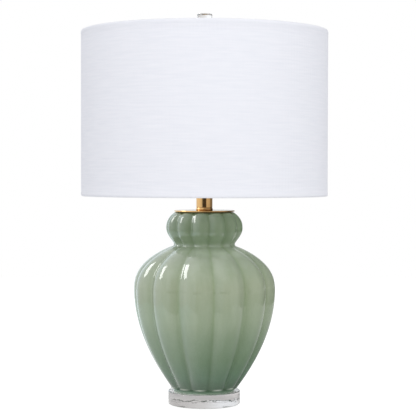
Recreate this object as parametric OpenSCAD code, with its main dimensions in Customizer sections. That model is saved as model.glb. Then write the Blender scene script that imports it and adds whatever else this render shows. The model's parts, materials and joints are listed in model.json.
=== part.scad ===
// Table lamp: a lobed, glazed ceramic gourd bonded to a clear disc, with a thin brass cap and neck,
// a rotary lampholder, a harp and a linen drum shade.
// Millimetres, +Z up, front towards -Y. The origin is the centre of the footprint on the table.

/* [Base] */
// Diameter of the clear disc under the gourd
base_d = 111; // [106:0.5:130]
// Thickness of the clear disc
base_t = 20.5; // [16:0.5:30]
// Width of the polished chamfer on the disc's edges
base_chamfer = 0.8; // [0.3:0.1:2]
// Number of bumper feet
feet_count = 4; // [3:1:6]
// Diameter of one bumper foot
bumper_d = 12; // [8:0.5:16]
// Height of one bumper foot
bumper_t = 1.5; // [1:0.25:3]
// Diameter of the circle that the bumper feet stand on
feet_circle_d = 88; // [70:1:92]

/* [Rod and nuts] */
// Outer diameter of the threaded rod that clamps the lamp together
rod_d = 9.7; // [8:0.1:10.5]
// Bore of the threaded rod, for the leads
rod_bore_d = 6.4; // [4:0.1:7]
// Length of rod that shows below its bottom nut
rod_tail = 1.5; // [0.5:0.25:2]
// Diameter of the washer under the gourd's floor
washer_d = 24; // [18:0.5:30]
// Thickness of the washer under the gourd's floor
washer_t = 1.6; // [1:0.1:2]
// Width of the rod's nuts across their flats
nut_af = 14; // [13:0.5:16]
// Thickness of the rod's nuts
nut_t = 3.6; // [3:0.1:4]

/* [Gourd] */
// Number of lobes around the gourd
lobe_count = 12; // [8:1:16]
// Angle from the front to the nearest groove, to the right
lobe_turn = 8; // [0:1:14]
// Diameter of the gourd where it stands on the disc
gourd_foot_d = 96; // [86:0.5:102]
// Greatest diameter of the belly
belly_d = 220.2; // [200:1:240]
// Diameter of the waist between belly and crown
waist_d = 93; // [84:0.5:104]
// Greatest diameter of the crown above the waist
crown_d = 119.2; // [110:0.5:130]
// Diameter of the rim of the mouth
mouth_d = 90; // [86:0.5:93]
// Height from the foot to the widest part of the belly
belly_rise = 156; // [130:1:190]
// Height from the widest part of the belly to the waist
shoulder_rise = 68.5; // [60:0.5:80]
// Height from the waist to the widest part of the crown
crown_rise = 28; // [24:0.5:34]
// Height from the widest part of the crown to the mouth
mouth_rise = 24; // [20:0.5:30]
// Depth of the grooves at the belly
belly_groove = 9.5; // [5:0.5:13]
// Depth of the grooves at the waist
waist_groove = 4; // [2:0.5:6]
// Depth of the grooves at the crown
crown_groove = 6; // [3:0.5:8]
// Depth of the grooves at the mouth
mouth_groove = 3; // [1:0.5:4]
// Thickness of the ceramic wall
gourd_wall = 5; // [4:0.25:7]
// Thickness of the ceramic floor
gourd_floor = 9; // [7:0.5:14]
// Diameter of the recess inside the foot ring, which hides the rod's bottom nut
foot_recess_d = 50; // [40:1:60]
// Depth of the recess inside the foot ring
foot_recess_depth = 8; // [7.5:0.5:11]

/* [Cord outlet] */
// Height of the cord outlet above the gourd's foot
outlet_rise = 22; // [20:1:40]
// Depth of the flat seat that is ground into the lobe for the bushing
outlet_seat = 1.8; // [1.5:0.1:2.5]
// Bore of the cord bushing
bushing_bore_d = 6.5; // [5:0.25:7.5]
// Diameter of the bushing's shank
bushing_d = 10; // [9:0.25:11]
// Diameter of the bushing's flange
bushing_flange_d = 14; // [13:0.5:15]
// Thickness of the bushing's flange
bushing_flange_t = 2; // [1.5:0.25:3]
// Length of the bushing's shank
bushing_shank = 8; // [6:0.5:10]

/* [Cap and neck] */
// Diameter of the flat brass cap
cap_d = 94; // [93:0.5:104]
// Thickness of the brass cap
cap_t = 2.2; // [1.5:0.1:3]
// Depth of the ring under the cap that centres it in the mouth
cap_spigot = 4; // [2:0.5:7]
// Thickness of the cushion between the ceramic and the cap
cushion_t = 0.6; // [0.4:0.1:1.2]
// Diameter of the collar at the foot of the neck
collar_d = 26.6; // [26:0.2:32]
// Height of the collar
collar_t = 4.4; // [4:0.2:7]
// Diameter of the neck tube
neck_d = 25.4; // [24:0.2:25.8]
// Length of the neck tube
neck_len = 27; // [20:1:50]
// Wall of the neck tube
neck_wall = 1.2; // [0.8:0.1:2]
// Thickness of the check ring that closes the top of the neck
neck_ring_t = 2.6; // [2:0.1:4]

/* [Harp saddle] */
// Distance between the two arms of the saddle
saddle_span = 58; // [54:1:64]
// Width of the saddle strip
saddle_w = 12; // [10:0.5:14]
// Thickness of the saddle strip
saddle_t = 1.6; // [1.2:0.1:2]
// Height of the saddle's arms
saddle_h = 18; // [14:0.5:24]
// Width of the ears that the harp slips over
ear_w = 6; // [5:0.25:6.2]
// Height of the ears
ear_h = 9; // [7:0.5:9]
// Diameter of the lock washer on the saddle
lock_washer_d = 16; // [14:0.5:20]
// Thickness of the lock washer
lock_washer_t = 0.8; // [0.5:0.1:1.2]

/* [Lampholder] */
// Outer diameter of the lampholder's shell
shell_d = 34.4; // [34:0.2:37]
// Height of the lampholder's shell
shell_h = 39; // [38:0.5:44]
// Thickness of the lampholder's sheet brass
sheet_t = 0.7; // [0.5:0.1:0.8]
// Height of the lampholder's cap
holder_cap_h = 22; // [20:0.5:26]
// Diameter of the hub of the lampholder's cap
hub_d = 16; // [15:0.5:18]
// Height of the hub of the lampholder's cap
hub_h = 8; // [7:0.5:9]
// Diameter of the set screw in the hub
set_screw_d = 3; // [2.5:0.1:3.5]
// Thickness of the paper insulator
paper_t = 0.5; // [0.4:0.1:0.6]
// Height of the moulded core that holds the switch
core_h = 17; // [15:0.5:18]
// Inner diameter of the screw shell, for a medium base
screw_shell_d = 26.6; // [26.6:0.1:27]
// Wall of the screw shell
screw_shell_t = 0.5; // [0.4:0.1:0.6]
// Height of the screw shell
screw_shell_h = 18; // [16:0.5:19]
// Height of the centre contact
contact_h = 1.2; // [0.8:0.1:1.6]
// Diameter of the terminal screws' heads
terminal_d = 5.6; // [5:0.2:6]
// Diameter of the switch shaft
shaft_d = 3.2; // [2.8:0.1:3.8]
// Diameter of the switch knob
knob_d = 11; // [10:0.5:13]
// Length of the switch knob
knob_len = 13; // [10:0.5:18]

/* [Bulb] */
// Diameter of the bulb's screw cap
bulb_cap_d = 26; // [25.6:0.1:26]
// Height of the bulb's screw cap
bulb_cap_h = 22; // [21:0.5:24]
// Greatest diameter of the glass
globe_d = 60; // [56:0.5:62]
// Length of the bulb from its contact to the top of the glass
bulb_len = 108; // [100:1:116]
// Thickness of the glass
glass_t = 0.8; // [0.6:0.1:1.2]

/* [Harp] */
// Height of the harp from the foot of its legs to the seat for the shade
harp_h = 203; // [196:1:250]
// Width of the harp between the centres of its legs
harp_w = 114; // [104:1:124]
// Diameter of the harp's wire
wire_d = 3.6; // [3:0.1:4]
// Diameter of the sockets at the feet of the harp
socket_d = 8; // [7.8:0.1:8.4]
// Height of the sockets at the feet of the harp
socket_h = 13; // [12:0.5:14]
// Outer diameter of the locking sleeves
sleeve_d = 10.6; // [10:0.1:12]
// Wall of the locking sleeves
sleeve_wall = 0.9; // [0.6:0.05:1]
// Height of the locking sleeves
sleeve_h = 13; // [11:0.5:14]
// Diameter of the swivel stud
stud_d = 6.2; // [5.5:0.1:6.4]
// Length of thread on the stud above its seat
stud_len = 12; // [9:0.5:13]
// Diameter of the seat that the shade rests on
seat_d = 18; // [14:0.5:22]
// Thickness of that seat
seat_t = 2; // [1.5:0.1:3]

/* [Shade] */
// Outer diameter of the drum shade
shade_d = 381; // [340:1:410]
// Height of the drum shade
shade_h = 254; // [220:1:280]
// Thickness of the linen
fabric_t = 0.6; // [0.4:0.1:1]
// Thickness of the shade's stiff lining
lining_t = 0.5; // [0.3:0.1:0.8]
// Diameter of the wire of the shade's two rings
ring_wire_d = 3.4; // [2.6:0.1:4]
// Height of the hem inside the shade
hem_drop = 8; // [6:0.5:14]
// Depth of the spider's hub below the top of the shade
spider_recess = 20.4; // [14:0.2:30]
// Number of the spider's arms
arm_count = 3; // [3:1:4]
// Diameter of the wire of the spider's arms
arm_wire_d = 3; // [2.4:0.1:3.2]
// Diameter of the spider's hub
spider_hub_d = 25; // [20:0.5:32]
// Thickness of the spider's hub
spider_hub_t = 1.6; // [1.2:0.1:2.4]

/* [Finial] */
// Diameter of the finial's brass foot
finial_foot_d = 14; // [12:0.5:18]
// Height of the finial's brass foot
finial_foot_h = 14; // [13:0.5:18]
// Diameter of the finial's brass stem
finial_stem_d = 8; // [7:0.25:10]
// Height of the finial's brass stem
finial_stem_h = 15; // [10:0.5:22]
// Diameter of the clear disc on top of the finial
finial_disc_d = 23.4; // [20:0.2:30]
// Height of the clear disc on top of the finial
finial_disc_h = 17; // [12:0.5:22]
// Width of the chamfer on the finial's clear disc
finial_chamfer = 1.2; // [0.5:0.1:2]

/* [Clearances] */
// Room around the rod in the pieces that it passes through
rod_gap = 0.35; // [0.2:0.05:0.5]
// Radial room of a pin or shaft in its own bearing
bearing_gap = 0.06; // [0.03:0.01:0.1]
// Radial room between a threaded or pressed pair
fit_gap = 0.03; // [0.02:0.01:0.06]
// Room between pieces that slide or turn past each other
slide_gap = 0.3; // [0.2:0.05:0.4]
// Room under a piece that only rests on another
seat_gap = 0.1; // [0.05:0.05:0.2]

/* [Hidden] */

$fn = 64;
cut = 1;

// Heights, from the table upwards
base_z = bumper_t;
base_top = base_z + base_t;
recess_top = base_top + foot_recess_depth;
foot_nut_z = recess_top - washer_t - nut_t;
belly_z = base_top + belly_rise;
waist_z = belly_z + shoulder_rise;
crown_z = waist_z + crown_rise;
mouth_z = crown_z + mouth_rise;
cap_z = mouth_z + cushion_t;
collar_z = cap_z + cap_t;
neck_z = collar_z + collar_t;
neck_ring_z = neck_z + neck_len;
saddle_z = neck_ring_z + neck_ring_t;
shoulder_z = saddle_z + saddle_h;
lock_washer_z = saddle_z + saddle_t;
holder_z = lock_washer_z + lock_washer_t;

// Radii that several pieces share
rod_hole_r = rod_d / 2 + rod_gap;
thread_hole_r = rod_d / 2 + fit_gap;
neck_bore_r = neck_d / 2 - neck_wall;

// Lampholder
hub_r = hub_d / 2;
rim_h = 6;
ledge_z = holder_z + holder_cap_h - rim_h;
shell_r = shell_d / 2;
shell_in_r = shell_r - sheet_t;
rim_r = shell_r + fit_gap + sheet_t;
paper_r = shell_in_r - fit_gap;
core_r = paper_r - paper_t - fit_gap;
core_top = ledge_z + core_h;
shell_top = ledge_z + shell_h;
shaft_z = ledge_z + core_h * 0.55;
shaft_hole_d = shaft_d + 2 * slide_gap + 1;
shaft_inner_y = 3;
hub_top = holder_z + hub_h;
rod_top = hub_top - 1;
set_screw_z = holder_z + hub_h / 2;
core_flat_x = core_r - 3;

// Bulb
contact_z = core_top + contact_h + slide_gap;
tip_h = 2.4;
insulator_h = 3;
bulb_cap_z = contact_z + tip_h + insulator_h;
bulb_cap_top = bulb_cap_z + bulb_cap_h;
glass_z = bulb_cap_top - 5;
bulb_top = contact_z + bulb_len;
globe_r = globe_d / 2;
globe_z = bulb_top - globe_r;
glass_neck_r = bulb_cap_d / 2 - sheet_t;

// Harp
leg_x = saddle_span / 2;
side_x = harp_w / 2;
harp_foot_z = shoulder_z + slide_gap;
leg_top = harp_foot_z + 31;
seat_top = harp_foot_z + harp_h;
pad_r = 7;
pad_h = wire_d + 1.2;
pad_top = seat_top - seat_t - seat_gap;
flat_z = pad_top - pad_h / 2;
stud_r = stud_d / 2;
rivet_t = 1.4;
ear_gap = 0.3;
sleeve_z = shoulder_z + slide_gap;

// Half of the harp's centre line, from the foot up: [x, z, heading]. A straight leg, a bend out,
// a slope, a bend back, a straight side and a quarter turn to the flat top.
lean = 25;
bend_out_r = 30;
bend_back_r = 55;
turn_r = side_x - 6;
slope_len = (side_x - leg_x - (bend_out_r + bend_back_r) * (1 - cos(lean))) / sin(lean);
side_z = leg_top + (bend_out_r + bend_back_r) * sin(lean) + slope_len * cos(lean);
turn_z = flat_z - turn_r;
harp_half = concat(
    [[leg_x, harp_foot_z + socket_h - 1.5, 90]],
    [for (a = [0:lean / 4:lean]) [leg_x + bend_out_r * (1 - cos(a)), leg_top + bend_out_r * sin(a), 90 - a]],
    [for (a = [lean:-lean / 5:0])
        [side_x - bend_back_r * (1 - cos(a)), side_z - bend_back_r * sin(a), 90 - a]],
    [for (a = [0:9:90]) [side_x - turn_r * (1 - cos(a)), turn_z + turn_r * sin(a), 90 + a]]);
harp_path = concat(harp_half,
    [for (i = [len(harp_half) - 1:-1:0]) [-harp_half[i][0], harp_half[i][1], 360 - harp_half[i][2]]]);

// Shade
hub_z = seat_top + seat_gap;
shade_r = shade_d / 2;
shade_top = hub_z + spider_recess;
shade_bottom = shade_top - shade_h;
lining_r = shade_r - fabric_t - seat_gap;
ring_r = ring_wire_d / 2;
ring_track_r = lining_r - lining_t - seat_gap - ring_r;
top_ring_z = shade_top - fabric_t - seat_gap - ring_r;
bottom_ring_z = shade_bottom + fabric_t + seat_gap + ring_r;
hem_in_r = ring_track_r - ring_r - seat_gap - fabric_t;
arm_z = hub_z + spider_hub_t + arm_wire_d / 2 - 0.3;
arm_start_r = finial_foot_d / 2 + 1.2;
arm_bend_r = ring_track_r - (top_ring_z - arm_z);

// Finial
finial_z = hub_z + spider_hub_t + seat_gap;
stem_z = finial_z + finial_foot_h;
disc_z = stem_z + finial_stem_h;
disc_pin_h = 6;
disc_pin_r = finial_stem_d / 2 - 1;

// Places a piece at each of n equal turns
module around(n, start = 0) {
    for (i = [0:n - 1]) rotate([0, 0, start + i * 360 / n]) children();
}

// A ring or tube with square edges
module ring(r_out, r_in, z, h) {
    translate([0, 0, z]) difference() {
        cylinder(r = r_out, h = h);
        translate([0, 0, -cut]) cylinder(r = r_in, h = h + 2 * cut);
    }
}

// A hexagonal nut on the rod
module nut(z) {
    translate([0, 0, z]) difference() {
        cylinder(d = nut_af / cos(30), h = nut_t, $fn = 6);
        translate([0, 0, -cut]) cylinder(r = thread_hole_r, h = nut_t + 2 * cut);
    }
}

// A round rod between two points
module stick(from, to, d) {
    v = to - from;
    translate(from)
        rotate([0, acos(v[2] / norm(v)), atan2(v[1], v[0])])
        cylinder(d = d, h = norm(v));
}

// How far a swelling form has come in at share t of its height: 1 at its widest, 0 at its narrowest
function swell(t, n, q) = pow(max(0, 1 - pow(t, n)), q);
function mix(a, b, s) = a + (b - a) * s;
function clamp01(t) = max(0, min(1, t));

// Share of the way from the widest part to each end of the gourd's four stretches
function t_foot(z) = clamp01((belly_z - z) / belly_rise);
function t_shoulder(z) = clamp01((z - belly_z) / shoulder_rise);
function t_crown(z) = clamp01((crown_z - z) / crown_rise);
function t_mouth(z) = clamp01((z - crown_z) / mouth_rise);

// Radius along the crest of a lobe
function crest_r(z) =
    z < belly_z ? mix(gourd_foot_d, belly_d, swell(t_foot(z), 1.92, 1)) / 2 :
    z < waist_z ? mix(waist_d, belly_d, swell(t_shoulder(z), 2.4, 0.86)) / 2 :
    z < crown_z ? mix(waist_d, crown_d, swell(t_crown(z), 2.2, 1.77)) / 2 :
    mix(mouth_d, crown_d, swell(t_mouth(z), 2.2, 0.87)) / 2;

// Depth of the grooves between the lobes; they run out just above the foot
function groove(z) =
    z < belly_z ? belly_groove * (1 - pow(t_foot(z), 12)) * (1 - 0.3 * t_foot(z)) :
    z < waist_z ? mix(waist_groove, belly_groove, swell(t_shoulder(z), 2.4, 0.86)) :
    z < crown_z ? mix(waist_groove, crown_groove, swell(t_crown(z), 2.2, 1.77)) :
    mix(mouth_groove, crown_groove, swell(t_mouth(z), 2.2, 0.87));

// Radius at an angle: round lobes that meet in narrow grooves
lobe_roundness = 0.8;
first_crest = lobe_turn - 90 + 180 / lobe_count;
function lobe(a) = pow(abs(cos((a - first_crest) * lobe_count / 2)), lobe_roundness);
function gourd_r(z, a) = crest_r(z) - groove(z) * (1 - lobe(a));

// Radius of the round cavity, a wall's thickness inside the grooves
function floor_of_groove(z) = crest_r(z) - groove(z);
function cavity_r(z) = min([for (dz = [-1, 0, 1]) floor_of_groove(z + dz * gourd_wall)]) - gourd_wall;

// Heights of the rings, closer together towards the waist, the foot and the mouth
function ease(i, n) = sin(90 * i / n);
foot_rings = 11;
shoulder_rings = 8;
crown_rings = 5;
mouth_rings = 5;
gourd_levels = concat(
    [for (i = [foot_rings:-1:1]) belly_z - belly_rise * ease(i, foot_rings)],
    [for (i = [0:shoulder_rings]) belly_z + shoulder_rise * ease(i, shoulder_rings)],
    [for (i = [crown_rings - 1:-1:1]) crown_z - crown_rise * ease(i, crown_rings)],
    [for (i = [0:mouth_rings]) crown_z + mouth_rise * ease(i, mouth_rings)]
);
steps_per_lobe = 8;

// Closed skin over rings of points, each ring of n points, with a fan at both ends
module skin(points, n) {
    rings = len(points) / n;
    sides = [for (k = [0:rings - 2], i = [0:n - 1], half = [0, 1])
        let (a = k * n + i, b = k * n + (i + 1) % n)
        half == 0 ? [a, a + n, b] : [b, a + n, b + n]];
    bottom = [for (i = [0:n - 1]) i];
    top = [for (i = [n - 1:-1:0]) (rings - 1) * n + i];
    polyhedron(points = points, faces = concat(sides, [bottom], [top]));
}

module gourd_outside() {
    n = lobe_count * steps_per_lobe;
    skin([for (z = gourd_levels, i = [0:n - 1])
        let (a = first_crest + 360 * i / n) [gourd_r(z, a) * cos(a), gourd_r(z, a) * sin(a), z]], n);
}

module gourd_cavity() {
    floor_z = recess_top + gourd_floor;
    levels = concat([floor_z], [for (z = gourd_levels) if (z > floor_z + 4 && z < mouth_z - 1) z]);
    rotate_extrude() polygon(concat(
        [[0, floor_z]],
        [for (z = levels) [cavity_r(z), z]],
        [[cavity_r(mouth_z), mouth_z + cut], [0, mouth_z + cut]]));
}

// The cord outlet lies on the lobe nearest the back, square to the wall
outlet_z = base_top + outlet_rise;
outlet_a = first_crest + 360 / lobe_count * round((90 - first_crest) * lobe_count / 360);
outlet_tilt = atan(crest_r(outlet_z + 0.5) - crest_r(outlet_z - 0.5));
// Turns the start of the outlet's round cuts away from the crest of the lobe
seam_turn = 50;
module at_outlet() {
    rotate([0, 0, outlet_a])
        translate([crest_r(outlet_z), 0, outlet_z])
        rotate([0, 90 + outlet_tilt, 0])
        translate([0, 0, -outlet_seat])
        rotate([0, 0, seam_turn])
        children();
}

module bumper_feet() {
    color([0.85, 0.87, 0.88, 0.6])
        around(feet_count, 45) translate([feet_circle_d / 2, 0, 0]) cylinder(d = bumper_d, h = bumper_t);
}

module acrylic_base() {
    r = base_d / 2;
    c = base_chamfer;
    color([0.9, 0.93, 0.95, 0.5]) rotate_extrude() polygon([
        [0, base_z], [r - c, base_z], [r, base_z + c], [r, base_top - c], [r - c, base_top], [0, base_top]]);
}

module foot_washer() {
    color("silver") ring(washer_d / 2, rod_hole_r, recess_top - washer_t, washer_t);
}

module foot_nut() {
    color("goldenrod") nut(foot_nut_z);
}

module threaded_rod() {
    rod_z = foot_nut_z - rod_tail;
    color("silver") ring(rod_d / 2, rod_bore_d / 2, rod_z, rod_top - rod_z);
}

module gourd_body() {
    color([0.55, 0.66, 0.54]) difference() {
        gourd_outside();
        gourd_cavity();
        translate([0, 0, base_top - cut]) cylinder(d = foot_recess_d, h = foot_recess_depth + cut);
        translate([0, 0, recess_top - cut]) cylinder(r = rod_hole_r + 1, h = gourd_floor + 2 * cut);
        at_outlet() cylinder(d = bushing_flange_d + 2 * slide_gap, h = 12);
        at_outlet() translate([0, 0, -16]) cylinder(d = bushing_d + 2 * seat_gap, h = 17);
    }
}

module cord_bushing() {
    color([0.2, 0.2, 0.2]) at_outlet() difference() {
        union() {
            cylinder(d = bushing_flange_d, h = bushing_flange_t);
            translate([0, 0, -bushing_shank])
                cylinder(d = bushing_d, h = bushing_shank + bushing_flange_t / 2);
        }
        translate([0, 0, -bushing_shank - cut])
            cylinder(d = bushing_bore_d, h = bushing_shank + bushing_flange_t + 2 * cut);
    }
}

module cap_cushion() {
    rim_out_r = floor_of_groove(mouth_z);
    color([0.25, 0.25, 0.24]) ring(rim_out_r - 0.5, cavity_r(mouth_z) + 0.5, mouth_z, cushion_t);
}

module brass_cap() {
    r = cap_d / 2;
    edge = cap_t / 4;
    spigot_r = cavity_r(mouth_z) - slide_gap;
    color([0.72, 0.55, 0.3]) rotate_extrude() polygon([
        [rod_hole_r, cap_z], [spigot_r - 1.5, cap_z], [spigot_r - 1.5, cap_z - cap_spigot],
        [spigot_r, cap_z - cap_spigot], [spigot_r, cap_z], [r - edge, cap_z], [r, cap_z + edge],
        [r, cap_z + cap_t - edge], [r - edge, cap_z + cap_t], [rod_hole_r, cap_z + cap_t]]);
}

module cap_nut() {
    color("goldenrod") nut(collar_z);
}

module neck_collar() {
    r = collar_d / 2;
    c = collar_t / 5;
    color([0.66, 0.48, 0.27]) rotate_extrude() polygon([
        [neck_bore_r - 1, collar_z], [r - c, collar_z], [r, collar_z + c], [r, collar_z + collar_t - c],
        [r - c, collar_z + collar_t], [neck_bore_r - 1, collar_z + collar_t]]);
}

module neck_tube() {
    color([0.78, 0.64, 0.4]) ring(neck_d / 2, neck_bore_r, neck_z, neck_len);
}

module neck_check_ring() {
    spigot_h = 3;
    color([0.66, 0.48, 0.27]) difference() {
        union() {
            translate([0, 0, neck_ring_z]) cylinder(d = neck_d, h = neck_ring_t);
            translate([0, 0, neck_ring_z - spigot_h])
                cylinder(r = neck_bore_r - seat_gap, h = spigot_h + neck_ring_t / 2);
        }
        translate([0, 0, neck_ring_z - spigot_h - cut])
            cylinder(r = rod_hole_r, h = spigot_h + neck_ring_t + 2 * cut);
    }
}

// Bent strip: a flat middle, two rounded corners and two arms that end in narrower ears
module harp_saddle() {
    bend = 3;
    x_in = leg_x - saddle_t / 2;
    x_out = leg_x + saddle_t / 2;
    module half_outline() {
        translate([0, saddle_z]) square([x_in - bend, saddle_t]);
        translate([x_in, saddle_z + saddle_t + bend]) square([saddle_t, saddle_h - saddle_t - bend]);
        translate([x_in - bend, saddle_z + saddle_t + bend]) intersection() {
            difference() {
                circle(r = bend + saddle_t);
                circle(r = bend);
            }
            translate([0, -2 * bend - saddle_t]) square([2 * bend + saddle_t, 2 * bend + saddle_t]);
        }
    }
    color("silver") difference() {
        union() {
            for (side = [0, 1]) mirror([side, 0, 0]) {
                translate([0, saddle_w / 2, 0]) rotate([90, 0, 0]) linear_extrude(saddle_w) half_outline();
                translate([x_in, -ear_w / 2, shoulder_z - cut]) cube([saddle_t, ear_w, ear_h + cut]);
            }
        }
        translate([0, 0, saddle_z - cut]) cylinder(r = rod_hole_r, h = saddle_t + 2 * cut);
    }
}

module lock_washer() {
    color("silver") ring(lock_washer_d / 2, rod_hole_r, lock_washer_z, lock_washer_t);
}

module holder_cap() {
    dome_in_r = shell_in_r - 1.4;
    color([0.8, 0.65, 0.38]) difference() {
        rotate_extrude() polygon([
            [thread_hole_r, holder_z], [hub_r, holder_z], [hub_r, hub_top], [rim_r, ledge_z - 1],
            [rim_r, ledge_z + rim_h], [shell_r + fit_gap, ledge_z + rim_h], [shell_r + fit_gap, ledge_z],
            [dome_in_r, ledge_z], [hub_r - 1, hub_top + 1.2], [thread_hole_r, hub_top + 1.2]]);
        translate([0, 0, set_screw_z]) rotate([-90, 0, 0]) cylinder(d = set_screw_d + 2 * fit_gap, h = hub_d);
    }
}

module set_screw() {
    color("silver") translate([0, rod_d / 2 + fit_gap, set_screw_z])
        rotate([-90, 0, 0]) cylinder(d = set_screw_d, h = hub_r - rod_d / 2 + 1.5);
}

// Round window for the switch shaft, cut from the lampholder's front
module shaft_window(d) {
    translate([0, 0, shaft_z]) rotate([90, 0, 0]) cylinder(d = d, h = shell_d);
}

module holder_shell() {
    color([0.8, 0.65, 0.38]) difference() {
        ring(shell_r, shell_in_r, ledge_z, shell_h);
        shaft_window(shaft_hole_d);
    }
}

module paper_insulator() {
    color([0.35, 0.3, 0.25]) difference() {
        ring(paper_r, paper_r - paper_t, ledge_z, shell_h - 1);
        shaft_window(shaft_hole_d);
    }
}

module switch_core() {
    color([0.15, 0.15, 0.15]) difference() {
        translate([0, 0, ledge_z]) cylinder(r = core_r, h = core_h);
        for (side = [0, 1]) mirror([side, 0, 0])
            translate([core_flat_x, -core_r, ledge_z - cut])
                cube([core_r, 2 * core_r, core_h * 0.7 + cut]);
        translate([0, -shaft_inner_y + 0.5, shaft_z]) rotate([90, 0, 0])
            cylinder(d = shaft_d + 2 * bearing_gap, h = core_r);
    }
}

module terminal_screws() {
    head_t = 1.6;
    color("goldenrod") for (side = [0, 1]) mirror([side, 0, 0])
        translate([core_flat_x, 0, ledge_z + core_h * 0.35])
        rotate([0, 90, 0])
        cylinder(d = terminal_d, h = head_t);
}

module screw_shell() {
    r = screw_shell_d / 2;
    color([0.8, 0.68, 0.42]) ring(r + screw_shell_t, r, core_top, screw_shell_h);
}

module centre_contact() {
    color("goldenrod") translate([0, 0, core_top]) cylinder(d = 6, h = contact_h);
}

module switch_shaft() {
    reach = rim_r + slide_gap + knob_len / 2;
    color("goldenrod") translate([0, -shaft_inner_y, shaft_z]) rotate([90, 0, 0])
        cylinder(d = shaft_d, h = reach - shaft_inner_y);
}

module switch_knob() {
    flutes = 16;
    bore_h = knob_len / 2 + slide_gap;
    color([0.12, 0.11, 0.1])
    translate([0, -rim_r - 2 * slide_gap, shaft_z])
    rotate([90, 0, 0])
    difference() {
        rotate_extrude() polygon([
            [0, 0], [knob_d / 2 - 1, 0], [knob_d / 2, 1], [knob_d / 2, knob_len - 1],
            [knob_d / 2 - 1, knob_len], [0, knob_len]]);
        translate([0, 0, -cut]) cylinder(d = shaft_d + 2 * fit_gap, h = bore_h + cut);
        around(flutes) translate([knob_d / 2 + 0.2, 0, 2.5]) cylinder(r = 0.6, h = knob_len);
    }
}

// Screw cap of the bulb: a thin shell with rounded ridges for its thread
module bulb_cap() {
    r = bulb_cap_d / 2;
    top = bulb_cap_top;
    mouth_r = r - sheet_t + fit_gap;
    ridges = 4;
    pitch = (bulb_cap_h - 9) / ridges;
    color("silver") rotate_extrude() polygon(concat(
        [[r - 4, bulb_cap_z], [r - 2.2, bulb_cap_z + 1.5]],
        [for (i = [0:ridges - 1], s = [[0.9, 0.2], [0, 0.5], [0.9, 0.8]])
            [r - s[0], bulb_cap_z + 2 + (i + s[1]) * pitch]],
        [[r, top - 7], [r, top], [mouth_r, top], [mouth_r, glass_z - 0.5], [r - 1.9, glass_z - 2],
            [r - 1.9, bulb_cap_z + 2.5], [r - 4, bulb_cap_z + 1]]));
}

module bulb_insulator() {
    r = bulb_cap_d / 2 - 4;
    color([0.08, 0.08, 0.1]) rotate_extrude() polygon([
        [0, bulb_cap_z - insulator_h], [4.5, bulb_cap_z - insulator_h], [r, bulb_cap_z],
        [r - 0.1, bulb_cap_z + 1], [0, bulb_cap_z + 1]]);
}

module bulb_contact() {
    color("silver") translate([0, 0, contact_z]) cylinder(d1 = 5, d2 = 8, h = tip_h, $fn = 48);
}

// Profile of the bulb's glass: a straight neck in the cap that swells into a round top
function t_neck(z) = clamp01((globe_z - z) / (globe_z - bulb_cap_top));
function glass_r(z) = mix(glass_neck_r, globe_r, swell(t_neck(z), 2, 1.3));
function arc(r, z, a) = [r * cos(a), z + r * sin(a)];

module bulb_glass() {
    neck_steps = 10;
    dome_steps = 9;
    inner_r = globe_r - glass_t;
    necks = concat([glass_z], [for (i = [0:neck_steps - 1]) mix(bulb_cap_top, globe_z, i / neck_steps)]);
    outside = [for (z = necks) [glass_r(z), z]];
    inside = [for (i = [neck_steps:-1:0]) [glass_r(necks[i]) - glass_t, necks[i]]];
    dome = [for (i = [0:dome_steps]) arc(globe_r, globe_z, 90 * i / dome_steps)];
    dome_in = [for (i = [dome_steps:-1:0]) arc(inner_r, globe_z, 90 * i / dome_steps)];
    color([0.97, 0.97, 0.94]) rotate_extrude() polygon(concat(outside, dome, dome_in, inside));
}

// Glass mount inside the neck, which carries the lead wires
stem_r = glass_neck_r - glass_t - fit_gap;
stem_h = 34;
module bulb_stem() {
    color([0.9, 0.93, 0.95, 0.5]) rotate_extrude() polygon([
        [0, glass_z], [stem_r, glass_z], [stem_r, glass_z + 1.2], [5, glass_z + 5], [3, glass_z + stem_h - 4],
        [3.6, glass_z + stem_h - 2], [0, glass_z + stem_h]]);
}

// Two lead wires and the coil between them
module bulb_filament() {
    lead_d = 0.9;
    top = glass_z + stem_h + 12;
    color([0.3, 0.3, 0.32]) for (side = [0, 1]) mirror([side, 0, 0]) {
        stick([3.8, 0, glass_z + stem_h - 6], [11, 0, top], lead_d);
        stick([0, 0, top], [12, 0, top], 1.4);
    }
}

// One end of the harp: the socket that slips over the saddle's ear
module harp_socket() {
    translate([leg_x, 0, harp_foot_z]) difference() {
        cylinder(d = socket_d, h = socket_h);
        translate([-saddle_t / 2 - ear_gap, -ear_w / 2 - ear_gap, -cut])
            cube([saddle_t + 2 * ear_gap, ear_w + 2 * ear_gap, ear_h + ear_gap + 1 + cut]);
    }
}

module harp_loop() {
    sides = 12;
    skin([for (p = harp_path, i = [0:sides - 1])
        let (s = wire_d / 2 * cos(360 * i / sides), y = wire_d / 2 * sin(360 * i / sides))
        [p[0] - s * sin(p[2]), -y, p[1] + s * cos(p[2])]], sides);
}

module harp_wire() {
    color([0.75, 0.6, 0.35]) difference() {
        union() {
            harp_loop();
            harp_socket();
            mirror([1, 0, 0]) harp_socket();
            translate([0, 0, pad_top - pad_h]) cylinder(r = pad_r, h = pad_h);
        }
        translate([0, 0, pad_top - pad_h - cut]) cylinder(r = stud_r + bearing_gap, h = pad_h + 2 * cut);
    }
}

module sleeve(x) {
    color([0.75, 0.6, 0.35]) translate([x, 0, 0])
        ring(sleeve_d / 2, sleeve_d / 2 - sleeve_wall, sleeve_z, sleeve_h);
}

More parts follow.
